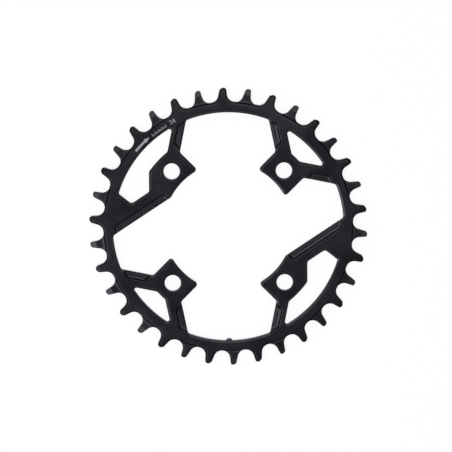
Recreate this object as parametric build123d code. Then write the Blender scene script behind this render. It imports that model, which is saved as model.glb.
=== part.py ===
from build123d import *
import math
import os

# Chain and tooth outline
chain_pitch = 12.7
tooth_pairs = 17
seat_radius = 4.23
tip_height = 3.15
drive_flank_angle = 10.3
release_flank_angle = 19.6
wide_drive_tip_cut = 0.7
wide_release_tip_cut = 1.0
narrow_drive_tip_cut = 0.5
narrow_release_tip_cut = 0.8
narrow_flank_relief = 0.12
wide_tooth_angle = 92.0

# Thickness and tooth section
plate_thickness = 3.8
narrow_tooth_thickness = 2.0
narrow_flare_width = 0.75
narrow_flare_height = 0.25
narrow_bevel_length = 3.1
narrow_bevel_depth = 0.55
wide_bevel_length = 1.5
wide_bevel_depth = 0.5

# Bolt tabs
bolt_circle_diameter = 82.0
bolt_hole_diameter = 8.4
paired_tab_angle = 45.0
tab_width = 19.8
tab_inward_reach = 7.7
tab_outward_reach = 8.95
tab_tip_radius = 1.6

# Rim, measured inwards from the roller seats
crown_rim_width = 5.3
side_rim_width = 4.85
lens_rim_width = 5.4
triangle_rim_width = 5.8

# Legs, with angles measured from the diagonal of their tab
leg_angle = 33.4
paired_crown_leg_width = 7.9
single_crown_leg_width = 6.35
side_leg_setback = 0.4
side_leg_width = 7.8
long_leg_angle = 11.85
long_leg_width = 8.6
shoulder_angle = 45.0
shoulder_reach = 11.8
gusset_angle = 83.3
gusset_depth = 7.7
notch_radius = 2.0
window_corner_radius = 1.9
window_end_radius = 1.1

# Relief pockets on the front of the legs
pocket_width = 3.8
pocket_depth = 1.2
pocket_rim_setback = 0.6
pocket_tab_setback = 1.2
pocket_corner_radius = 1.6
pocket_wall_run = 0.6
pocket_mouth_bevel_width = 0.4
pocket_mouth_bevel_depth = 0.15
pocket_floor_bevel_width = 0.8
pocket_floor_bevel_depth = 0.35
pocket_sill_bevel_width = 1.0
pocket_sill_bevel_depth = 0.4

# Alignment nub on the rim's inner edge
nub_angle = -90.0
nub_base_width = 3.5
nub_top_width = 1.9
nub_height = 1.0
nub_thickness = 2.6

# Edges of the front face
tooth_edge_break = 0.6
opening_bevel_width = 1.1
opening_bevel_depth = 0.45

# Circles of the toothed rim
tooth_count = 2 * tooth_pairs
pitch_angle = 360 / tooth_count
pitch_radius = chain_pitch / (2 * math.sin(math.radians(pitch_angle / 2)))
root_radius = pitch_radius - seat_radius
tip_radius = pitch_radius + tip_height
crown_rim_inner_radius = root_radius - crown_rim_width
side_rim_inner_radius = root_radius - side_rim_width
rim_middle_radius = root_radius - side_rim_width / 2
lens_outer_radius = root_radius - lens_rim_width
triangle_outer_radius = root_radius - triangle_rim_width
pocket_end_radius = crown_rim_inner_radius - pocket_rim_setback

# Circles and sides of the bolt tabs
bolt_circle_radius = bolt_circle_diameter / 2
single_tab_angle = paired_tab_angle + 90
tab_inner_radius = bolt_circle_radius - tab_inward_reach
tab_outer_radius = bolt_circle_radius + tab_outward_reach
tab_side = tab_width / 2
tab_corner_angle = math.degrees(math.asin(tab_side / tab_inner_radius))

# A short leg's inner edge points at the far inner corner of its tab
crown_leg_offset = tab_inner_radius * math.cos(math.radians(leg_angle - tab_corner_angle))
side_leg_offset = crown_leg_offset + side_leg_setback

# The long leg's inner edge starts from the near inner corner of its tab
long_leg_offset = tab_inner_radius * math.cos(math.radians(long_leg_angle + tab_corner_angle))
long_leg_outer_offset = long_leg_offset + long_leg_width

# The lens window ends at a shoulder beside the bolt and at a gusset that starts on the long leg's outer edge
shoulder_offset = bolt_circle_radius * math.cos(math.radians(shoulder_angle)) + shoulder_reach
gusset_radius = lens_outer_radius - gusset_depth
gusset_start_angle = math.degrees(math.acos(long_leg_outer_offset / gusset_radius)) - long_leg_angle
gusset_offset = gusset_radius * math.cos(math.radians(gusset_start_angle + gusset_angle))

# Working sizes for plan shapes that only have to be large enough, and for telling circles apart
reach = 2 * tip_radius
tolerance = 0.01


def polar(radius, angle):
    """Point at a radius and an angle in degrees from +X."""
    return radius * math.cos(math.radians(angle)), radius * math.sin(math.radians(angle))


def beyond(offset, angle):
    """All of the plan past a line whose normal points at the angle, offset from the axis."""
    side = Rectangle(2 * reach, 2 * reach, align=(Align.MIN, Align.CENTER))
    return Rot(0, 0, angle) * Pos(offset, 0) * side


def on_paired_tabs(shape):
    """A shape drawn with its tab on +X, on the two tabs that have a crown leg and a side leg."""
    return [Rot(0, 0, paired_tab_angle + turn) * shape for turn in (0, 180)]


def on_single_tabs(shape):
    """A shape drawn with its tab on +X, on the two tabs that have a crown leg and a long leg."""
    return [Rot(0, 0, single_tab_angle + turn) * shape for turn in (0, 180)]


def at_tooth_tip(vertex):
    return Vector(vertex).length > tip_radius - tolerance


def at_tab_end(vertex):
    return Vector(vertex).length < tab_inner_radius + tolerance


def off_tab_end(vertex):
    return not at_tab_end(vertex)


def pitch_wedge(inner_radius, outer_radius):
    """One pitch of a flat ring, centred on +Y."""
    left = polar(reach, 90 + pitch_angle / 2)
    right = polar(reach, 90 - pitch_angle / 2)
    return Polygon((0, 0), right, left, align=None) & (Circle(outer_radius) - Circle(inner_radius))


def tooth_gap(radius):
    """Roller seat with a mouth that opens outwards, drive flank on its left, in the seat's own frame."""
    drive = math.radians(drive_flank_angle)
    release = math.radians(release_flank_angle)
    drive_foot = (-radius * math.cos(drive), -radius * math.sin(drive))
    release_foot = (radius * math.cos(release), -radius * math.sin(release))
    mouth_height = 2 * tip_height
    drive_top = (drive_foot[0] - (mouth_height - drive_foot[1]) * math.tan(drive), mouth_height)
    release_top = (release_foot[0] + (mouth_height - release_foot[1]) * math.tan(release), mouth_height)
    mouth = Polygon(drive_foot, release_foot, release_top, drive_top, align=None)
    return Circle(radius) + mouth


def tooth_plan(relief, drive_tip, release_tip):
    """One pitch of the toothed rim, tooth on +Y, its flanks slimmer by the relief and its tip corners cut."""
    plan = pitch_wedge(rim_middle_radius, tip_radius)
    gap = tooth_gap(seat_radius + relief)
    for side in (-1, 1):
        plan -= Rot(0, 0, side * pitch_angle / 2) * Pos(0, pitch_radius) * gap
    plan = chamfer(plan.vertices().filter_by(at_tooth_tip).sort_by(Axis.X)[-1], drive_tip)
    return chamfer(plan.vertices().filter_by(at_tooth_tip).sort_by(Axis.X)[0], release_tip)


def every_second_tooth(shape, first_angle):
    """Copies of a shape drawn on +Y, two pitches apart, the first at an angle from +X."""
    return [Rot(0, 0, first_angle - 90 + 2 * pitch_angle * k) * shape for k in range(tooth_pairs)]


def rim_plan():
    """Disc to the root circle, with every second tooth, the wide ones."""
    wide = tooth_plan(0, wide_drive_tip_cut, wide_release_tip_cut)
    root = pitch_wedge(rim_middle_radius, root_radius)
    teeth = every_second_tooth(wide, wide_tooth_angle)
    roots = every_second_tooth(root, wide_tooth_angle + pitch_angle)
    return Circle(rim_middle_radius) + teeth + roots


def nub_plan():
    """Trapezium that stands inwards from the rim's inner edge, sunk into the rim by its own height."""
    slope = (nub_base_width - nub_top_width) / 2
    inner, outer = crown_rim_inner_radius - nub_height, crown_rim_inner_radius + nub_height
    half = [(outer, nub_base_width / 2 + slope), (inner, nub_top_width / 2)]
    mirrored = [(x, -y) for x, y in reversed(half)]
    return Rot(0, 0, nub_angle) * Polygon(*half, *mirrored, align=None)


def central_opening():
    """Opening inside the rim, between the four tabs and their legs."""
    strip = beyond(0, 0) - beyond(tab_side, 90) - beyond(tab_side, -90)
    paired_arm = strip + (beyond(crown_leg_offset, -leg_angle) & beyond(side_leg_offset, leg_angle))
    single_arm = beyond(-tab_side, 90) + beyond(crown_leg_offset, leg_angle)
    single_arm &= beyond(long_leg_offset, -long_leg_angle)
    arms = on_paired_tabs(paired_arm) + on_single_tabs(single_arm)
    sides = beyond(bolt_circle_radius, 0) + beyond(bolt_circle_radius, 180)
    opening = Circle(crown_rim_inner_radius) + (Circle(side_rim_inner_radius) & sides)
    opening -= [arm - Circle(tab_inner_radius) for arm in arms]
    opening = fillet(opening.vertices().filter_by(off_tab_end), notch_radius)
    return fillet(opening.vertices().filter_by(at_tab_end), tab_tip_radius)


def rounded_window(window):
    """A window with rounded corners, tighter at the two that lie on the rim."""
    window = fillet(window.vertices().sort_by_distance((0, 0, 0))[:-2], window_corner_radius)
    return fillet(window.vertices().sort_by_distance((0, 0, 0))[-2:], window_end_radius)


def windows():
    """Closed openings outside the tabs: two triangles and two long lenses."""
    triangle = beyond(crown_leg_offset + paired_crown_leg_width, -leg_angle) & Circle(triangle_outer_radius)
    triangle &= beyond(side_leg_offset + side_leg_width, leg_angle)
    triangle -= Circle(tab_outer_radius)
    lens = beyond(crown_leg_offset + single_crown_leg_width, leg_angle) & Circle(lens_outer_radius)
    lens &= beyond(long_leg_outer_offset, -long_leg_angle)
    lens &= beyond(gusset_offset, -gusset_angle)
    lens -= Circle(tab_outer_radius) - beyond(shoulder_offset, shoulder_angle)
    return on_paired_tabs(rounded_window(triangle)) + on_single_tabs(rounded_window(lens))


def bolt_holes():
    hole = Pos(bolt_circle_radius, 0) * extrude(Circle(bolt_hole_diameter / 2), plate_thickness)
    return on_paired_tabs(hole) + on_single_tabs(hole)


def tip_bevels(half_thickness, length, depth):
    """Cutters for the bevels on both faces of a tooth's tip, with the tooth on +Y."""
    middle = plate_thickness / 2
    foot, end = tip_radius - length, tip_radius + length
    face, top = middle + half_thickness, middle + half_thickness + depth
    section = Polygon((foot, face), (end, face - 2 * depth), (end, top), (foot, top), align=None)
    front = extrude(Plane.YZ * section, chain_pitch, both=True)
    return [front, mirror(front, Plane.XY.offset(middle))]


def front_face(solid):
    return solid.faces().sort_by(Axis.Z)[-1]


def plate():
    """Full-thickness plate with the wide teeth, broken front edges and bevelled tooth tips."""
    solid = extrude(rim_plan() - central_opening() - windows(), plate_thickness)
    front = front_face(solid)
    opening_edges = [edge for wire in front.inner_wires() for edge in wire.edges()]
    solid = chamfer(opening_edges, opening_bevel_width, opening_bevel_depth, reference=front)
    solid = chamfer(front_face(solid).outer_wire().edges(), tooth_edge_break)
    for bevel in tip_bevels(plate_thickness / 2, wide_bevel_length, wide_bevel_depth):
        solid -= every_second_tooth(bevel, wide_tooth_angle)
    return solid - bolt_holes()


def narrow_tooth():
    """Thin tooth on +Y, flared where it leaves the rim and tapered on both faces towards its tip."""
    middle = plate_thickness / 2
    half = narrow_tooth_thickness / 2
    flare = half + narrow_flare_height
    profile = [(rim_middle_radius, flare), (root_radius, flare)]
    profile += [(root_radius + narrow_flare_width, half), (reach, half)]
    front = [(radius, middle + height) for radius, height in profile]
    back = [(radius, middle - height) for radius, height in reversed(profile)]
    turned = revolve(Plane.XZ * Polygon(*front, *back, align=None), Axis.Z)
    plan = tooth_plan(narrow_flank_relief, narrow_drive_tip_cut, narrow_release_tip_cut)
    tooth = extrude(plan, plate_thickness) & turned
    return tooth - tip_bevels(half, narrow_bevel_length, narrow_bevel_depth)


def pocket_plan(leg_offset, angle, margin):
    """Plan of the pocket along a leg's inner edge, open on the inner side, walls moved out by the margin."""
    band = beyond(leg_offset - pocket_width, angle) - beyond(leg_offset + pocket_width + margin, angle)
    tab_side_normal = math.copysign(90, -angle)
    tab_end = beyond(tab_side + pocket_tab_setback - margin, tab_side_normal)
    plan = band & Circle(pocket_end_radius + margin) & tab_end
    wall_corners = plan.vertices().sort_by(Axis((0, 0, 0), (*polar(1, angle), 0)))[-2:]
    return fillet(wall_corners, pocket_corner_radius + margin)


def dished(plan, height, *bevels):
    """A block on the plan with bevelled lower edges, each bevel a run along the floor and a rise."""
    block = extrude(plan, height)
    for run, rise in bevels:
        floor = block.faces().sort_by(Axis.Z)[0]
        block = chamfer(floor.edges(), run, rise, reference=floor)
    return block


def leg_pocket(leg_offset, angle):
    """Cutter for the pocket along a leg's inner edge, with its tab on +X and its floor on the plan."""
    wall_height = pocket_depth - pocket_mouth_bevel_depth
    wall = (pocket_wall_run, wall_height)
    foot = (pocket_floor_bevel_width, pocket_floor_bevel_depth)
    basin = dished(pocket_plan(leg_offset, angle, 0), 2 * pocket_depth, wall, foot)

    mouth_plan = pocket_plan(leg_offset, angle, pocket_mouth_bevel_width)
    mouth = dished(mouth_plan, pocket_depth, (pocket_mouth_bevel_width, pocket_mouth_bevel_depth))

    sill_ends = pocket_plan(leg_offset, angle, -pocket_wall_run - pocket_floor_bevel_width)
    inside, outside = leg_offset + pocket_sill_bevel_width, leg_offset - pocket_sill_bevel_width
    slope = Polygon((inside, 0), (outside, 0), (outside, -2 * pocket_sill_bevel_depth), align=None)
    sill = Rot(0, 0, angle) * extrude(Plane.XZ * slope, reach, both=True)
    sill &= extrude(sill_ends, -2 * pocket_sill_bevel_depth)
    return Pos(0, 0, plate_thickness - pocket_depth) * (basin + Pos(0, 0, wall_height) * mouth + sill)


def leg_pockets():
    side_leg = on_paired_tabs(leg_pocket(side_leg_offset, leg_angle))
    paired_crown_leg = on_paired_tabs(leg_pocket(crown_leg_offset, -leg_angle))
    single_crown_leg = on_single_tabs(leg_pocket(crown_leg_offset, leg_angle))
    long_leg = on_single_tabs(leg_pocket(long_leg_offset, -long_leg_angle))
    return side_leg + paired_crown_leg + single_crown_leg + long_leg


narrow_teeth = every_second_tooth(narrow_tooth(), wide_tooth_angle + pitch_angle)
nub = extrude(nub_plan(), nub_thickness)
chainring = plate() + narrow_teeth + nub - leg_pockets()
os.makedirs("parts", exist_ok=True)
export_step(chainring, "parts/chainring.step")
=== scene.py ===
import math

import bpy
import numpy as np
from mathutils import Euler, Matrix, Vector


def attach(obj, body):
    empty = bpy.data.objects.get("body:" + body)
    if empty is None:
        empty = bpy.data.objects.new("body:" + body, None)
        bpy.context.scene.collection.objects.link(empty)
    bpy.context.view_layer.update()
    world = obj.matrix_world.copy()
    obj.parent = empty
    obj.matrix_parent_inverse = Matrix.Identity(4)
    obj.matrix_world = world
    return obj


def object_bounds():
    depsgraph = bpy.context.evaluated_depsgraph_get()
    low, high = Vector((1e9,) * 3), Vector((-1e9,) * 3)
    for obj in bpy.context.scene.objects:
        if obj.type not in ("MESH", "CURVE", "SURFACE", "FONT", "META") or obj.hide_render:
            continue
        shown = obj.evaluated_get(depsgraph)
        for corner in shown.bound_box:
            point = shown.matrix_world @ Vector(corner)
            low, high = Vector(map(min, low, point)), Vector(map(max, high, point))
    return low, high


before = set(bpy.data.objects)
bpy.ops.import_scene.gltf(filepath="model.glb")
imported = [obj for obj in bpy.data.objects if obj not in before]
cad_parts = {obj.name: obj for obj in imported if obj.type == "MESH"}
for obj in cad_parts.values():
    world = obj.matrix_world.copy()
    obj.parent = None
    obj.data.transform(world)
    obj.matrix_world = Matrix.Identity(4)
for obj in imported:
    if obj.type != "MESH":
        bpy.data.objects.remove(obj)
CAD_LOW, CAD_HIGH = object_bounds()

bl_info = {
    "name": "Chainring finish",
    "version": (1, 0, 0),
    "blender": (4, 5, 0),
    "location": "View3D > Sidebar > Chainring",
    "description": "Gives a bicycle chainring its anodised finish, rim marks and white studio stage",
    "category": "Object",
}

RING_NODE = "chainring"
RING_BODY = "root"
MM = 0.001
FRONT_FACE_HEIGHT = CAD_HIGH.z
POCKET_DEPTH = 1.2 * MM
POCKET_FLOOR = FRONT_FACE_HEIGHT - POCKET_DEPTH

# Each pair of opposite pockets by the direction across their legs in degrees, the distance of the legs' inner
# edges from the axis, and the direction away from their tabs
POCKET_PAIRS = [
    (78.4, 32.39 * MM, -45.0),
    (11.6, 31.99 * MM, 135.0),
    (168.4, 31.99 * MM, 45.0),
    (123.15, 29.08 * MM, 225.0),
]
# A pocket's middle from its leg's inner edge, half its width with the mouth, and its start from the axis in
# the direction away from its tab
POCKET_MIDDLE = 2.1 * MM
POCKET_HALF_WIDTH = 2.4 * MM
POCKET_START = 10.6 * MM
MOUTH_END_RADIUS = 59.3 * MM

# Distances from the axis over which a tone fades in or out
POCKET_END = (60.5 * MM, 61.3 * MM)
ROOT_START = (61.5 * MM, 63 * MM)
CONTACT_START = (61 * MM, 63.5 * MM)

# Heights above the back face over which a tone fades in or out
SILL_FOOT = (POCKET_FLOOR - 0.6 * MM, POCKET_FLOOR - 0.5 * MM)
SILL_TOP = (POCKET_FLOOR - 0.10 * MM, POCKET_FLOOR - 0.02 * MM)
COVE_FOOT = (POCKET_FLOOR + 0.02 * MM, POCKET_FLOOR + 0.12 * MM)
COVE_TOP = (POCKET_FLOOR + 0.4 * MM, POCKET_FLOOR + 0.6 * MM)
MOUTH_LINE_FOOT = (FRONT_FACE_HEIGHT - 0.20 * MM, FRONT_FACE_HEIGHT - 0.17 * MM)
MOUTH_LINE_TOP = (FRONT_FACE_HEIGHT - 0.10 * MM, FRONT_FACE_HEIGHT - 0.07 * MM)
ARRIS_FOOT = (FRONT_FACE_HEIGHT - 0.45 * MM, FRONT_FACE_HEIGHT - 0.35 * MM)

# Flatness, from 0 on upright walls to 1 on flat faces, over which one surface passes into the next
WALL_TO_SLOPE = (0.25, 0.45)
SLOPE_TO_FACE = (0.80, 0.92)
MOUTH_TO_FACE = (0.95, 0.985)
ARRIS_TO_FACE = (0.94, 0.996)
BEVEL_TO_FACE = (0.985, 0.999)

# Patches in the dye and the print: their sizes, the spans of the noise that they use, and the tones that they
# go between
CLOUD_SIZE = 18 * MM
CLOUD_SPAN = (0.3, 0.7)
CLOUD_TONES = (0.84, 1.16)
SPECKLE_SIZE = 0.9 * MM
SPECKLE_SPAN = (0.25, 0.75)
SPECKLE_TONES = (0.86, 1.14)
DRIFT_SIZE = 22 * MM
DRIFT_SPAN = (0.35, 0.65)
DRIFT_GREEN_SHARE = 0.4
PRINT_PATCH_SIZE = 0.4 * MM
PRINT_PATCH_SPAN = (0.3, 0.7)
PRINT_PATCH_TONES = (0.82, 1.0)
PRINT_ROUGHNESS = 0.6
ROUGHNESS_SPREAD = 0.03
# Rays that look for the rounded edges and the contact line
EDGE_SAMPLES = 8

STROKE_POINTS = 24
# Shares of the height of the arrow's head
ARROW_HEAD_LENGTH = 1.3
ARROW_SHAFT_HALF_WIDTH = 0.25
ARROW_TIP_HALF_WIDTH = 0.02
# The row of ticks, where a short one is given as a share of a tall one
TICK_COUNT = 13
TICKS_TO_A_TALL_ONE = 3
SHORT_TICK = 0.6
TICK_HALF_WIDTH = 0.15 * MM
# Shares of the height of a figure
FIGURE_HALF_PEN = 0.075
FIGURE_MIDDLE = 0.42

# The sweep lies just below the back face, and its shares are of the radius of its flat floor
SWEEP_GAP = 0.05 * MM
SWEEP_FLOOR_SHARES = (0.0, 0.1, 0.5)
SWEEP_COVE_SHARE = 0.5
SWEEP_RISE_POINTS = 13
SWEEP_TURN_POINTS = 97
PAPER_COLOUR = (0.75, 0.75, 0.75, 1)
FAINT_PAPER_COLOUR = (0.14, 0.14, 0.14, 1)
CONTACT_OPENNESS = (0.5, 1.0)

# Tilts from the axis between which the studio's light goes from the ceiling's colour to that of the walls
CEILING_TILT = math.radians(28)
WALL_TILT = math.radians(55)
SOFTBOX_DISTANCE = 0.65
# Each softbox by its turn about the ring's axis and its tilt from it, in degrees, and its width in metres
SOFTBOXES = {
    "key": (208, 33, 0.36),
    "top": (90, 24, 0.34),
    "upper_left": (135, 32, 0.24),
    "overhead": (60, 16, 0.20),
    "right": (350, 31, 0.24),
    "front": (275, 47, 0.34),
}

# Places of the Mix node's sockets, several of which share a name
MIX_FIRST_VECTOR = 4
MIX_SECOND_VECTOR = 5
MIX_VECTOR_RESULT = 1
MIX_FIRST_COLOUR = 6
MIX_SECOND_COLOUR = 7
MIX_COLOUR_RESULT = 2


class RingFinishSettings(bpy.types.PropertyGroup):
    """Colours, grain and painted shade of the black anodised aluminium."""

    face_colour: bpy.props.FloatVectorProperty(
        name="Face colour",
        description="Colour of the flat faces and shallow bevels",
        default=(0.0465, 0.0470, 0.0530),
        subtype="COLOR",
        min=0.0,
        max=1.0,
    )
    # Painted shade: the upright walls get a darker colour than the flat faces
    wall_colour: bpy.props.FloatVectorProperty(
        name="Wall colour",
        description="Colour of the upright walls round the teeth, windows and holes",
        default=(0.024, 0.0245, 0.028),
        subtype="COLOR",
        min=0.0,
        max=1.0,
    )
    # Painted shade: the steep pocket sides and sharp edge breaks get a far darker colour than the flat faces
    slope_painted_shade: bpy.props.FloatVectorProperty(
        name="Slope colour",
        description="Colour of the steep pocket sides and sharp edge breaks, where the dye is deeper",
        default=(0.005, 0.0053, 0.0062),
        subtype="COLOR",
        min=0.0,
        max=1.0,
    )
    edge_tint: bpy.props.FloatVectorProperty(
        name="Grazing tint",
        description="How much of the light that grazes a wall the skin sends back",
        default=(0.75, 0.75, 0.75),
        subtype="COLOR",
        min=0.0,
        max=1.0,
    )
    roughness: bpy.props.FloatProperty(
        name="Roughness",
        description="How satin the blasted and anodised skin is",
        default=0.24,
        min=0.0,
        max=1.0,
        subtype="FACTOR",
    )
    grain_size: bpy.props.FloatProperty(
        name="Grain size",
        description="Width of the pits that blasting leaves",
        default=0.35 * MM,
        unit="LENGTH",
        precision=5,
    )
    grain_depth: bpy.props.FloatProperty(
        name="Grain depth",
        description="Depth of the pits that blasting leaves",
        default=0.006 * MM,
        unit="LENGTH",
        precision=6,
    )
    edge_softness: bpy.props.FloatProperty(
        name="Edge softness",
        description="Radius to which tumbling rounds the arrises",
        default=0.3 * MM,
        unit="LENGTH",
        precision=5,
    )
    floor_tone: bpy.props.FloatProperty(
        name="Pocket floor tone",
        description="How much paler the milled floors of the relief pockets are than the blasted faces",
        default=1.3,
        min=0.0,
    )
    # Painted shade: darkens the sloping sills of the pockets
    sill_painted_shade: bpy.props.FloatProperty(
        name="Pocket sill tone",
        description="Tone of the sloping sills of the relief pockets beside that of the faces",
        default=0.42,
        min=0.0,
    )
    # Painted shade: darkens the coves at the foot of the pocket sides
    cove_painted_shade: bpy.props.FloatProperty(
        name="Pocket cove tone",
        description="Tone of the coves that lead from the pocket floors up to their sides",
        default=0.8,
        min=0.0,
    )
    # Painted shade: a dark line low on the bevels round the pocket mouths
    mouth_painted_shade: bpy.props.FloatProperty(
        name="Pocket mouth tone",
        description="Tone of the dark line low on the bevels round the mouths of the relief pockets",
        default=0.15,
        min=0.0,
        max=1.0,
        subtype="FACTOR",
    )
    # Painted shade along the arrises of the toothed edge, given by its reach and its tone
    arris_shade_width: bpy.props.FloatProperty(
        name="Arris width",
        description="Reach of the deeper dye along the arrises of the toothed edge",
        default=0.8 * MM,
        unit="LENGTH",
        precision=5,
    )
    arris_painted_shade: bpy.props.FloatProperty(
        name="Arris tone",
        description="Tone of the arrises of the toothed edge beside that of the faces",
        default=0.45,
        min=0.0,
        max=1.0,
        subtype="FACTOR",
    )
    hue_drift: bpy.props.FloatProperty(
        name="Hue drift",
        description="How far the dye drifts between bluish and brownish black",
        default=0.03,
        min=0.0,
        max=1.0,
        subtype="FACTOR",
    )
    pillow_width: bpy.props.FloatProperty(
        name="Pillow width",
        description="How far from an edge the flat faces start to fall away",
        default=2.4 * MM,
        unit="LENGTH",
        precision=5,
    )
    pillow_share: bpy.props.FloatProperty(
        name="Pillow share",
        description="How much the flat faces fall away towards their edges",
        default=0.22,
        min=0.0,
        max=1.0,
        subtype="FACTOR",
    )


class RimMarkSettings(bpy.types.PropertyGroup):
    """Places and sizes of the white marks on the front of the rim."""

    colour: bpy.props.FloatVectorProperty(
        name="Mark colour",
        description="Colour of the white marks",
        default=(0.55, 0.57, 0.60),
        subtype="COLOR",
        min=0.0,
        max=1.0,
    )
    thickness: bpy.props.FloatProperty(
        name="Film thickness",
        description="How far the marks stand above the rim's face",
        default=0.015 * MM,
        unit="LENGTH",
        precision=6,
    )
    arrow_angle: bpy.props.FloatProperty(
        name="Arrow angle",
        description="Where the direction arrow is centred on the rim",
        default=math.radians(135.5),
        unit="ROTATION",
    )
    arrow_radius: bpy.props.FloatProperty(
        name="Arrow radius",
        description="Distance of the direction arrow from the ring's axis",
        default=61.75 * MM,
        unit="LENGTH",
    )
    arrow_length: bpy.props.FloatProperty(
        name="Arrow length",
        description="Length of the direction arrow along the rim",
        default=10.0 * MM,
        unit="LENGTH",
    )
    arrow_height: bpy.props.FloatProperty(
        name="Arrow height",
        description="Width of the direction arrow's head across the rim",
        default=2.3 * MM,
        unit="LENGTH",
    )
    scale_angle: bpy.props.FloatProperty(
        name="Tick row angle",
        description="Where the row of ticks is centred on the rim",
        default=math.radians(125.1),
        unit="ROTATION",
    )
    scale_radius: bpy.props.FloatProperty(
        name="Tick row radius",
        description="Distance of the row of ticks from the ring's axis",
        default=61.45 * MM,
        unit="LENGTH",
    )
    scale_length: bpy.props.FloatProperty(
        name="Tick row length",
        description="Length of the row of ticks along the rim",
        default=8.5 * MM,
        unit="LENGTH",
    )
    scale_height: bpy.props.FloatProperty(
        name="Tick height",
        description="Length of one tick across the rim",
        default=1.5 * MM,
        unit="LENGTH",
    )
    number_angle: bpy.props.FloatProperty(
        name="Number angle",
        description="Where the tooth count is centred on the rim",
        default=math.radians(117.4),
        unit="ROTATION",
    )
    number_radius: bpy.props.FloatProperty(
        name="Number radius",
        description="Distance of the tooth count from the ring's axis",
        default=61.75 * MM,
        unit="LENGTH",
    )
    number_height: bpy.props.FloatProperty(
        name="Number height",
        description="Height of the figures of the tooth count",
        default=2.2 * MM,
        unit="LENGTH",
    )


class StageSettings(bpy.types.PropertyGroup):
    """Camera, softboxes and white sweep."""

    camera_distance: bpy.props.FloatProperty(
        name="Camera distance",
        description="Distance from the camera to the ring's axis",
        default=1.75,
        unit="LENGTH",
    )
    camera_lean: bpy.props.FloatProperty(
        name="Camera lean",
        description="How far the camera leans from the ring's axis towards its top",
        default=math.radians(5.25),
        unit="ROTATION",
    )
    camera_turn: bpy.props.FloatProperty(
        name="Camera turn",
        description="Turn of the camera about the ring's axis",
        default=math.radians(-0.476),
        unit="ROTATION",
    )
    field_width: bpy.props.FloatProperty(
        name="Field width",
        description="Width that the picture takes in at the ring",
        default=233.67 * MM,
        unit="LENGTH",
    )
    aim: bpy.props.FloatVectorProperty(
        name="Aim",
        description="Point of the front face at the middle of the picture",
        default=(-1.177 * MM, 0.497 * MM, FRONT_FACE_HEIGHT),
        size=3,
        subtype="TRANSLATION",
        unit="LENGTH",
    )
    key_radiance: bpy.props.FloatProperty(
        name="Key softbox",
        description="Brightness of the large softbox on the left, where 1 shows as white",
        default=1.8,
        min=0.0,
    )
    top_radiance: bpy.props.FloatProperty(
        name="Top softbox",
        description="Brightness of the softbox beyond the ring's top, where 1 shows as white",
        default=0.96,
        min=0.0,
    )
    upper_left_radiance: bpy.props.FloatProperty(
        name="Upper left softbox",
        description="Brightness of the softbox at the upper left, where 1 shows as white",
        default=0.85,
        min=0.0,
    )
    overhead_radiance: bpy.props.FloatProperty(
        name="Overhead softbox",
        description="Brightness of the small softbox almost overhead, where 1 shows as white",
        default=0.60,
        min=0.0,
    )
    right_radiance: bpy.props.FloatProperty(
        name="Right softbox",
        description="Brightness of the softbox on the right, where 1 shows as white",
        default=0.57,
        min=0.0,
    )
    front_radiance: bpy.props.FloatProperty(
        name="Front softbox",
        description="Brightness of the softbox below the ring's bottom, where 1 shows as white",
        default=0.45,
        min=0.0,
    )
    ceiling_colour: bpy.props.FloatVectorProperty(
        name="Ceiling colour",
        description="Dim light from the studio's ceiling",
        default=(0.25, 0.26, 0.29),
        subtype="COLOR",
        min=0.0,
        max=1.0,
    )
    wall_colour: bpy.props.FloatVectorProperty(
        name="Wall colour",
        description="Dim light from the studio's walls",
        default=(0.42, 0.43, 0.46),
        subtype="COLOR",
        min=0.0,
        max=1.0,
    )
    sweep_radius: bpy.props.FloatProperty(
        name="Sweep radius",
        description="Radius of the flat floor before it curves up",
        default=2.4,
        unit="LENGTH",
    )
    contact_width: bpy.props.FloatProperty(
        name="Contact shadow width",
        description="Width of the dark line where the ring's teeth meet the sweep",
        default=0.45 * MM,
        unit="LENGTH",
        precision=5,
    )
    contact_shade: bpy.props.FloatProperty(
        name="Contact shadow depth",
        description="How dark the line is where the ring's teeth meet the sweep",
        default=0.95,
        min=0.0,
        max=1.0,
        subtype="FACTOR",
    )
    sweep_glow: bpy.props.FloatProperty(
        name="Sweep glow",
        description="Share of the sweep's white that shadows don't reach",
        default=0.915,
        min=0.0,
        max=1.0,
        subtype="FACTOR",
    )


def add_node(tree, kind, inputs=None, **options):
    """Adds a node, sets its options, and fills each named input with a value or a link."""
    node = tree.nodes.new(kind)
    for option, value in options.items():
        setattr(node, option, value)
    for socket, value in (inputs or {}).items():
        if isinstance(value, bpy.types.NodeSocket):
            tree.links.new(value, node.inputs[socket])
        else:
            node.inputs[socket].default_value = value
    return node


def new_material(name):
    """An empty node material and its tree."""
    material = bpy.data.materials.new(name)
    material.use_nodes = True
    material.node_tree.nodes.clear()
    return material, material.node_tree


def finish_material(tree, shader):
    """Links a shader to the material's output."""
    add_node(tree, "ShaderNodeOutputMaterial", {"Surface": shader})


def noise(tree, place, feature_size, detail):
    """Cloudy noise between 0 and 1 whose features are about one feature size wide."""
    settings = {"Vector": place, "Scale": 1 / feature_size, "Detail": detail}
    return add_node(tree, "ShaderNodeTexNoise", settings).outputs["Fac"]


def ramp(tree, value, span, result_low, result_high):
    """A value over a span, mapped smoothly to the two results and held at them beyond it."""
    low, high = span
    settings = {
        "Value": value,
        "From Min": low,
        "From Max": high,
        "To Min": result_low,
        "To Max": result_high,
    }
    node = add_node(tree, "ShaderNodeMapRange", settings, interpolation_type="SMOOTHSTEP")
    return node.outputs["Result"]


def math_node(tree, operation, *values):
    """One arithmetic step on values or sockets."""
    return add_node(tree, "ShaderNodeMath", dict(enumerate(values)), operation=operation).outputs[0]


def product(tree, first, *others):
    """The product of several values or sockets."""
    for other in others:
        first = math_node(tree, "MULTIPLY", first, other)
    return first


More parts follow.
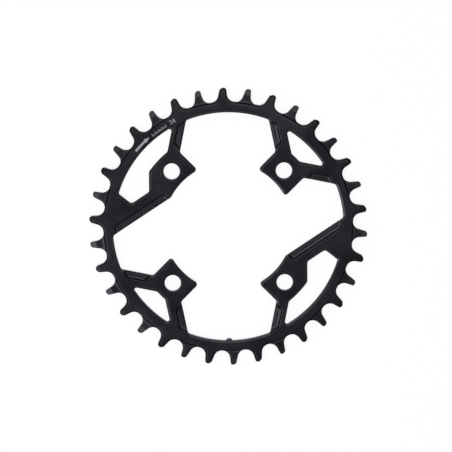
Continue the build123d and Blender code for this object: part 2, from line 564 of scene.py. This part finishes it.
def mix_colours(tree, factor, first, second, blend="MIX"):
    """Two colours mixed by a factor."""
    inputs = {0: factor, MIX_FIRST_COLOUR: first, MIX_SECOND_COLOUR: second}
    node = add_node(tree, "ShaderNodeMix", inputs, data_type="RGBA", blend_type=blend)
    return node.outputs[MIX_COLOUR_RESULT]


def mix_normals(tree, factor, first, second):
    """Two surface normals mixed by a factor."""
    inputs = {0: factor, MIX_FIRST_VECTOR: first, MIX_SECOND_VECTOR: second}
    node = add_node(tree, "ShaderNodeMix", inputs, data_type="VECTOR")
    return node.outputs[MIX_VECTOR_RESULT]


def edge_normal(tree, radius):
    """Surface normal with every edge rounded off over a radius."""
    return add_node(tree, "ShaderNodeBevel", {"Radius": radius}, samples=EDGE_SAMPLES).outputs["Normal"]


def flatness(tree, normal):
    """How far a normal points along the ring's axis: 1 on the flat faces, 0 on upright walls."""
    height = add_node(tree, "ShaderNodeSeparateXYZ", {"Vector": normal}).outputs["Z"]
    return math_node(tree, "ABSOLUTE", height)


def reach_and_height(tree, spot):
    """Distance of a spot from the ring's axis, and its height above the back face."""
    place = add_node(tree, "ShaderNodeSeparateXYZ", {"Vector": spot}).outputs
    across = add_node(tree, "ShaderNodeCombineXYZ", {"X": place["X"], "Y": place["Y"]}).outputs[0]
    reach = add_node(tree, "ShaderNodeVectorMath", {0: across}, operation="LENGTH").outputs["Value"]
    return reach, place["Z"]


def distance_along(tree, spot, direction):
    """How far a spot lies from the ring's axis in a direction given in degrees."""
    angle = math.radians(direction)
    inputs = {0: spot, 1: (math.cos(angle), math.sin(angle), 0)}
    return add_node(tree, "ShaderNodeVectorMath", inputs, operation="DOT_PRODUCT").outputs["Value"]


def pocket_tones_and_painted_shade(tree, reach, height, finish):
    """Tone inside the rim at the heights of the pockets' sills, floors and coves, and 1 elsewhere: painted
    shade on the sills and coves, and paler floors.
    """
    inside = ramp(tree, reach, POCKET_END, 1.0, 0.0)
    above_sill_foot = ramp(tree, height, SILL_FOOT, 0.0, 1.0)
    sill = ramp(tree, height, SILL_TOP, finish.sill_painted_shade, finish.floor_tone)
    cove = ramp(tree, height, COVE_FOOT, 1.0, finish.cove_painted_shade / finish.floor_tone)
    below_cove_top = ramp(tree, height, COVE_TOP, 1.0, 0.0)
    change = math_node(tree, "SUBTRACT", product(tree, sill, cove), 1.0)
    share = product(tree, inside, above_sill_foot, below_cove_top)
    return math_node(tree, "MULTIPLY_ADD", change, share, 1.0)


def pocket_zone(tree, spot):
    """1 over the relief pockets and their mouths, by distance across each leg and along it from the axis."""
    zone = 0.0
    for across, leg_edge, from_tab in POCKET_PAIRS:
        offset = distance_along(tree, spot, across)
        distance = math_node(tree, "ABSOLUTE", offset)
        on_leg = math_node(tree, "COMPARE", distance, leg_edge + POCKET_MIDDLE, POCKET_HALF_WIDTH)
        run = product(tree, distance_along(tree, spot, from_tab), math_node(tree, "SIGN", offset))
        past_tab = math_node(tree, "GREATER_THAN", run, POCKET_START)
        zone = math_node(tree, "MULTIPLY_ADD", on_leg, past_tab, zone)
    return zone


def mouth_painted_shade(tree, spot, reach, height, face_flatness, finish):
    """Painted shade: a tone that falls to the mouth tone low on the bevels round the pocket mouths, 1
    elsewhere.
    """
    inside = math_node(tree, "LESS_THAN", reach, MOUTH_END_RADIUS)
    above_foot = ramp(tree, height, MOUTH_LINE_FOOT, 0.0, 1.0)
    below_top = ramp(tree, height, MOUTH_LINE_TOP, 1.0, 0.0)
    low_on_bevel = product(tree, above_foot, below_top)
    change = ramp(tree, face_flatness, MOUTH_TO_FACE, finish.mouth_painted_shade - 1, 0.0)
    share = product(tree, inside, low_on_bevel, pocket_zone(tree, spot))
    return math_node(tree, "MULTIPLY_ADD", share, change, 1.0)


def arris_painted_shade(tree, reach, height, finish):
    """Painted shade: a tone that falls to the arris tone along the front edges of the teeth and roots, 1
    elsewhere.
    """
    outside = ramp(tree, reach, ROOT_START, 0.0, 1.0)
    front = ramp(tree, height, ARRIS_FOOT, 0.0, 1.0)
    arris_flatness = flatness(tree, edge_normal(tree, finish.arris_shade_width))
    change = ramp(tree, arris_flatness, ARRIS_TO_FACE, finish.arris_painted_shade - 1, 0.0)
    return math_node(tree, "MULTIPLY_ADD", product(tree, outside, front), change, 1.0)


def anodised_material(finish):
    """Black anodised aluminium: satin faces with a blasted grain and paler pocket floors, with painted shade
    on walls, slopes, pocket sills, coves and mouths and along the toothed edge.
    """
    material, tree = new_material("anodised_ring")
    place = add_node(tree, "ShaderNodeTexCoord")
    spot = place.outputs["Object"]

    rounded = edge_normal(tree, finish.edge_softness)
    pillowed = edge_normal(tree, finish.pillow_width)
    face_flatness = flatness(tree, place.outputs["Normal"])
    fall = ramp(tree, face_flatness, BEVEL_TO_FACE, 0.0, finish.pillow_share)
    skin_normal = mix_normals(tree, fall, rounded, pillowed)

    rounded_flatness = flatness(tree, rounded)
    sloping = ramp(tree, rounded_flatness, WALL_TO_SLOPE, 0.0, 1.0)
    flat = ramp(tree, rounded_flatness, SLOPE_TO_FACE, 0.0, 1.0)
    # Painted shade: upright walls take the darker wall colour and steep slopes the far darker slope colour,
    # giving way to the faces' own colour
    painted_side_shade = mix_colours(tree, sloping, (*finish.wall_colour, 1), (*finish.slope_painted_shade, 1))
    dye_and_painted_shade = mix_colours(tree, flat, painted_side_shade, (*finish.face_colour, 1))

    reach, height = reach_and_height(tree, spot)
    # Painted shade on the pocket sills, coves and mouths and along the arrises of the toothed edge; the
    # pocket floors are paler
    pockets = pocket_tones_and_painted_shade(tree, reach, height, finish)
    mouths = mouth_painted_shade(tree, spot, reach, height, face_flatness, finish)
    edges = product(tree, mouths, arris_painted_shade(tree, reach, height, finish))
    clouds = noise(tree, spot, CLOUD_SIZE, detail=2.0)
    speckle = noise(tree, spot, SPECKLE_SIZE, detail=3.0)
    cloud_tone = ramp(tree, clouds, CLOUD_SPAN, *CLOUD_TONES)
    speckle_tone = ramp(tree, speckle, SPECKLE_SPAN, *SPECKLE_TONES)
    tone = product(tree, product(tree, cloud_tone, speckle_tone), product(tree, pockets, edges))
    toned = mix_colours(tree, 1.0, dye_and_painted_shade, tone, "MULTIPLY")
    drift = ramp(tree, noise(tree, spot, DRIFT_SIZE, detail=1.0), DRIFT_SPAN, 0.0, 1.0)
    cool = (1 - finish.hue_drift, 1, 1 + finish.hue_drift, 1)
    warm = (1 + finish.hue_drift, 1 - DRIFT_GREEN_SHARE * finish.hue_drift, 1 - finish.hue_drift, 1)
    colour = mix_colours(tree, 1.0, toned, mix_colours(tree, drift, cool, warm), "MULTIPLY")

    smooth = finish.roughness - ROUGHNESS_SPREAD
    rough = finish.roughness + ROUGHNESS_SPREAD
    satin = ramp(tree, clouds, CLOUD_SPAN, smooth, rough)
    pits = noise(tree, spot, finish.grain_size, detail=2.0)
    skin = add_node(
        tree,
        "ShaderNodeBump",
        {"Height": pits, "Distance": finish.grain_depth, "Normal": skin_normal},
    )
    metal = add_node(
        tree,
        "ShaderNodeBsdfPrincipled",
        {
            "Base Color": colour,
            "Metallic": 1.0,
            "Roughness": satin,
            "Specular Tint": (*finish.edge_tint, 1),
            "Normal": skin.outputs["Normal"],
        },
    )
    finish_material(tree, metal.outputs["BSDF"])
    return material


def mark_material(marks):
    """White marking film: matt, slightly patchy where it takes on the grain below."""
    material, tree = new_material("white_marking")
    spot = add_node(tree, "ShaderNodeTexCoord").outputs["Object"]
    patches = noise(tree, spot, PRINT_PATCH_SIZE, detail=3.0)
    tone = ramp(tree, patches, PRINT_PATCH_SPAN, *PRINT_PATCH_TONES)
    colour = mix_colours(tree, 1.0, (*marks.colour, 1), tone, "MULTIPLY")
    film = add_node(tree, "ShaderNodeBsdfPrincipled", {"Base Color": colour, "Roughness": PRINT_ROUGHNESS})
    finish_material(tree, film.outputs["BSDF"])
    return material


def sweep_material(stage):
    """White sweep that glows for the camera and in reflections, and takes a faint shadow."""
    material, tree = new_material("white_sweep")
    paper = add_node(tree, "ShaderNodeBsdfDiffuse", {"Color": PAPER_COLOUR})
    faint = add_node(tree, "ShaderNodeBsdfDiffuse", {"Color": FAINT_PAPER_COLOUR})
    spot = add_node(tree, "ShaderNodeTexCoord").outputs["Object"]
    reach = add_node(tree, "ShaderNodeVectorMath", {0: spot}, operation="LENGTH").outputs["Value"]
    outside = ramp(tree, reach, CONTACT_START, 0.0, 1.0)
    openness = add_node(
        tree,
        "ShaderNodeAmbientOcclusion",
        {"Distance": stage.contact_width},
        samples=EDGE_SAMPLES,
    )
    shade = ramp(tree, openness.outputs["AO"], CONTACT_OPENNESS, stage.contact_shade, 0.0)
    lit = math_node(tree, "SUBTRACT", 1.0, product(tree, shade, outside))
    glow = add_node(tree, "ShaderNodeEmission", {"Strength": product(tree, lit, stage.sweep_glow)})
    seen = add_node(tree, "ShaderNodeAddShader", {0: faint.outputs[0], 1: glow.outputs[0]})
    path = add_node(tree, "ShaderNodeLightPath").outputs
    mirrored = math_node(tree, "MAXIMUM", path["Is Glossy Ray"], path["Is Transmission Ray"])
    direct = math_node(tree, "MAXIMUM", path["Is Camera Ray"], mirrored)
    white = add_node(tree, "ShaderNodeMixShader", {0: direct, 1: paper.outputs[0], 2: seen.outputs[0]})
    finish_material(tree, white.outputs[0])
    return material


def surface_object(name, patches, material):
    """One mesh of several grids of points, each with a quad between every four neighbours."""
    corners = []
    first = 0
    for patch in patches:
        rows, columns = patch.shape[:2]
        index = first + np.arange(rows * columns).reshape(rows, columns)
        quads = [index[:-1, :-1], index[:-1, 1:], index[1:, 1:], index[1:, :-1]]
        corners.append(np.stack(quads, axis=-1).reshape(-1, 4))
        first += rows * columns
    points = np.concatenate([patch.reshape(-1, 3) for patch in patches])
    mesh = bpy.data.meshes.new(name)
    mesh.from_pydata(points.tolist(), [], np.concatenate(corners).tolist())
    mesh.materials.append(material)
    piece = bpy.data.objects.new(name, mesh)
    bpy.context.scene.collection.objects.link(piece)
    return piece


def stroke(path, half_width):
    """A ribbon: each point of a path moved half a width to the left and to the right of its direction."""
    along = np.gradient(path, axis=0)
    along /= np.linalg.norm(along, axis=1, keepdims=True)
    left = np.stack([-along[:, 1], along[:, 0]], axis=1)
    reach = np.broadcast_to(half_width, len(path))[:, None]
    return np.stack([path + left * reach, path - left * reach], axis=1)


def line(start, end, half_width):
    """A straight ribbon from start to end."""
    share = np.linspace(0, 1, STROKE_POINTS)[:, None]
    return stroke((1 - share) * np.array(start) + share * np.array(end), half_width)


def arc(centre, radius, from_angle, to_angle, half_width):
    """A ribbon along an arc, at the centre plus the radius times the cosine and sine of the angle."""
    angle = np.radians(np.linspace(from_angle, to_angle, STROKE_POINTS))
    return stroke(np.array(centre) + radius * np.stack([np.cos(angle), np.sin(angle)], axis=1), half_width)


def wrap_on_rim(ribbon, angle, radius, height):
    """Bends a flat ribbon round the rim: length runs clockwise from an angle, height adds to the radius."""
    turn = angle - ribbon[..., 0] / radius
    reach = radius + ribbon[..., 1]
    return np.stack([reach * np.cos(turn), reach * np.sin(turn), np.full_like(turn, height)], axis=-1)


def direction_arrow(length, height):
    """Shaft and head of an arrow along the rim, the head tapering evenly from its full height to a point."""
    end = 0.5 * length
    neck = end - ARROW_HEAD_LENGTH * height
    taper = np.linspace(0.5 * height, ARROW_TIP_HALF_WIDTH * height, STROKE_POINTS)
    shaft = line((-end, 0), (neck, 0), ARROW_SHAFT_HALF_WIDTH * height)
    head = line((neck, 0), (end, 0), taper)
    return [shaft, head]


def tick_row(length, height):
    """Evenly spaced ticks across the rim, every third one full height and the others shorter."""
    places = np.linspace(-0.5 * length, 0.5 * length, TICK_COUNT)
    tall = np.arange(TICK_COUNT) % TICKS_TO_A_TALL_ONE == 0
    foot = -0.5 * height
    tops = np.where(tall, height, SHORT_TICK * height) + foot
    return [line((x, foot), (x, top), TICK_HALF_WIDTH) for x, top in zip(places, tops)]


def tooth_count(height):
    """The figures 3 and 4: two bowls, each two thirds of a circle, and an upright, a slant and a bar."""
    pen = FIGURE_HALF_PEN * height
    bowl = 0.25 * height - 0.5 * pen
    three = -FIGURE_MIDDLE * height
    four = FIGURE_MIDDLE * height
    top = 0.5 * height
    upright = four + 0.1 * height
    bar = -0.2 * height
    return [
        arc((three, bowl), bowl, 150, -90, pen),
        arc((three, -bowl), bowl, 90, -150, pen),
        line((upright, top), (upright, -top), pen),
        line((upright, top), (four - 0.3 * height, bar), pen),
        line((four - 0.35 * height, bar), (four + 0.3 * height, bar), pen),
    ]


class CHAINRING_OT_finish(bpy.types.Operator):
    """Give the ring its black anodised finish"""

    bl_idname = "chainring.finish"
    bl_label = "Anodise ring"

    def execute(self, context):
        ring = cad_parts[RING_NODE]
        ring.material_slots[0].material = anodised_material(context.scene.ring_finish)
        return {"FINISHED"}


class CHAINRING_OT_rim_marks(bpy.types.Operator):
    """Print the white arrow, tick row and tooth count on the rim"""

    bl_idname = "chainring.rim_marks"
    bl_label = "Print rim marks"

    def execute(self, context):
        marks = context.scene.rim_marks
        height = FRONT_FACE_HEIGHT + marks.thickness
        groups = [
            (direction_arrow(marks.arrow_length, marks.arrow_height), marks.arrow_angle, marks.arrow_radius),
            (tick_row(marks.scale_length, marks.scale_height), marks.scale_angle, marks.scale_radius),
            (tooth_count(marks.number_height), marks.number_angle, marks.number_radius),
        ]
        patches = [wrap_on_rim(ribbon, *place, height) for ribbons, *place in groups for ribbon in ribbons]
        piece = surface_object("rim_marks", patches, mark_material(marks))
        film = piece.modifiers.new("film", "SOLIDIFY")
        # Half of the film lies above the rim's face and half below it
        film.thickness = 2 * marks.thickness
        film.offset = -1
        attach(piece, RING_BODY)
        return {"FINISHED"}


def softbox(name, azimuth, tilt, width, radiance):
    """A square softbox that faces the ring, its power being its brightness times pi times its area."""
    lamp = bpy.data.lights.new(name + "_softbox", "AREA")
    lamp.shape = "SQUARE"
    lamp.size = width
    lamp.energy = radiance * math.pi * width**2
    light = bpy.data.objects.new(name + "_softbox", lamp)
    turn = Euler((0, math.radians(tilt), math.radians(azimuth)))
    light.location = turn.to_matrix() @ Vector((0, 0, SOFTBOX_DISTANCE))
    light.rotation_euler = turn
    bpy.context.scene.collection.objects.link(light)


def studio_room(stage):
    """Dim studio round the ring: its light goes smoothly from the ceiling's colour to that of the walls."""
    world = bpy.data.worlds.new("studio_room")
    world.use_nodes = True
    tree = world.node_tree
    look = add_node(tree, "ShaderNodeTexCoord").outputs["Generated"]
    rise = add_node(tree, "ShaderNodeSeparateXYZ", {"Vector": look}).outputs["Z"]
    overhead = ramp(tree, rise, (math.cos(WALL_TILT), math.cos(CEILING_TILT)), 0.0, 1.0)
    room = mix_colours(tree, overhead, (*stage.wall_colour, 1), (*stage.ceiling_colour, 1))
    tree.links.new(room, tree.nodes["Background"].inputs["Color"])
    return world


def sweep_surface(radius):
    """A flat disc whose edge curves up a quarter circle, the profile being carried round the ring's axis."""
    rise = np.radians(np.linspace(0, 90, SWEEP_RISE_POINTS))
    cove = SWEEP_COVE_SHARE * radius
    floor = radius * np.array(SWEEP_FLOOR_SHARES)
    reach = np.concatenate([floor, radius + cove * np.sin(rise)])
    height = np.concatenate([np.zeros_like(floor), cove * (1 - np.cos(rise))])
    turn = np.radians(np.linspace(0, 360, SWEEP_TURN_POINTS))
    x = np.outer(np.cos(turn), reach)
    y = np.outer(np.sin(turn), reach)
    z = np.broadcast_to(height, x.shape) - SWEEP_GAP
    return np.stack([x, y, z], axis=-1)


class CHAINRING_OT_stage(bpy.types.Operator):
    """Set up the white sweep, softboxes and camera"""

    bl_idname = "chainring.stage"
    bl_label = "Set stage"

    def execute(self, context):
        scene = context.scene
        stage = scene.ring_stage
        scene.view_settings.view_transform = "Standard"

        sweep = surface_object("sweep", [sweep_surface(stage.sweep_radius)], sweep_material(stage))

        for name, (azimuth, tilt, width) in SOFTBOXES.items():
            softbox(name, azimuth, tilt, width, getattr(stage, name + "_radiance"))
        scene.world = studio_room(stage)

        lens = bpy.data.cameras.new("camera")
        lens.lens = lens.sensor_width * stage.camera_distance / stage.field_width
        camera = bpy.data.objects.new("camera", lens)
        turn = Euler((-stage.camera_lean, 0, stage.camera_turn))
        camera.rotation_euler = turn
        camera.location = Vector(stage.aim) + turn.to_matrix() @ Vector((0, 0, stage.camera_distance))
        scene.collection.objects.link(camera)
        scene.camera = camera
        return {"FINISHED"}


class CHAINRING_PT_panel(bpy.types.Panel):
    """Sidebar panel with the ring's operators and settings"""

    bl_idname = "CHAINRING_PT_panel"
    bl_label = "Chainring"
    bl_space_type = "VIEW_3D"
    bl_region_type = "UI"
    bl_category = "Chainring"

    def draw(self, context):
        for operator, settings in PANEL_ROWS:
            box = self.layout.box()
            box.operator(operator)
            group = getattr(context.scene, settings)
            for name in group.__annotations__:
                box.prop(group, name)


PANEL_ROWS = [
    ("chainring.finish", "ring_finish"),
    ("chainring.rim_marks", "rim_marks"),
    ("chainring.stage", "ring_stage"),
]
SETTINGS = {
    "ring_finish": RingFinishSettings,
    "rim_marks": RimMarkSettings,
    "ring_stage": StageSettings,
}
CLASSES = [
    *SETTINGS.values(),
    CHAINRING_OT_finish,
    CHAINRING_OT_rim_marks,
    CHAINRING_OT_stage,
    CHAINRING_PT_panel,
]


def register():
    """Registers the classes and gives every scene the three groups of settings."""
    for cls in CLASSES:
        bpy.utils.register_class(cls)
    for name, settings in SETTINGS.items():
        setattr(bpy.types.Scene, name, bpy.props.PointerProperty(type=settings))


def unregister():
    """Takes the settings and the classes away again."""
    for name in SETTINGS:
        delattr(bpy.types.Scene, name)
    for cls in reversed(CLASSES):
        bpy.utils.unregister_class(cls)


def main():
    """Dresses the ring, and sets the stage."""
    register()
    bpy.ops.chainring.finish()
    bpy.ops.chainring.rim_marks()
    bpy.ops.chainring.stage()


if __name__ == "__main__":
    main()
